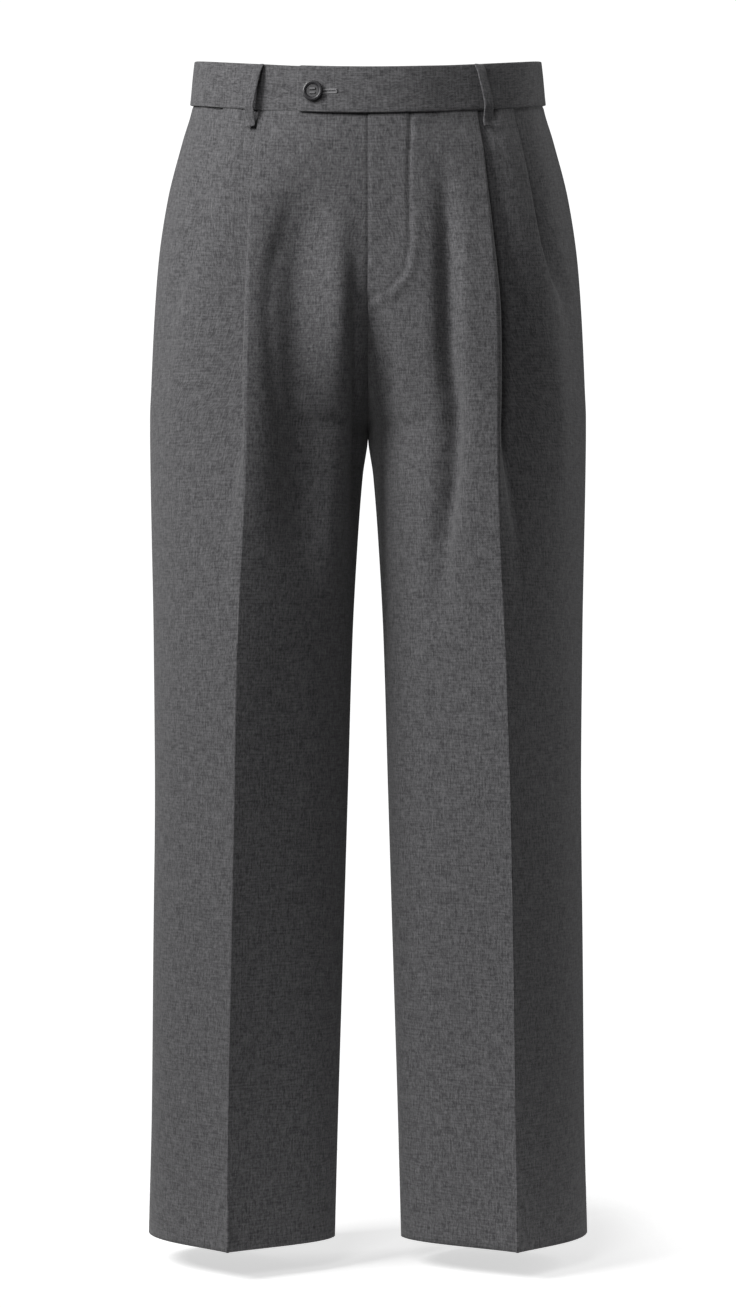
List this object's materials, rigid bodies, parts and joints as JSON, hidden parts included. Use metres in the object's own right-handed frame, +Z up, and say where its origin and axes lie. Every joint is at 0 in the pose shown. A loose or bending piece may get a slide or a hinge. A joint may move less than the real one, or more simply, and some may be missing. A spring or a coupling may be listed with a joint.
{
  "type": "trousers",
  "caption": "High-waisted double-pleated dress trousers in mid-grey flannel with a buttoned waistband tab, a fly, belt loops and pressed creases, filled out as if worn.",
  "frame": {"origin": "the middle of the waist, half-way up the waistband at the wearer's sides", "axes": "+Z up, -Y towards the front of the trousers, +X towards the wearer's left"},
  "size_m": [0.388, 0.2693, 1.045],
  "materials": {
    "flannel": "matte",
    "button": "satin",
    "thread": "matte"
  },
  "bodies": {
    "root": {"waistband_left": "flannel", "waistband_right": "flannel", "front_left": "flannel", "front_right": "flannel", "back_left": "flannel", "back_right": "flannel", "fly_facing": "flannel", "fly_shield": "flannel", "belt_loop_front_left": "flannel", "belt_loop_front_right": "flannel", "belt_loop_side_left": "flannel", "belt_loop_side_right": "flannel", "belt_loop_back": "flannel", "button": "button", "button_thread": "thread"}
  },
  "joints": []
}
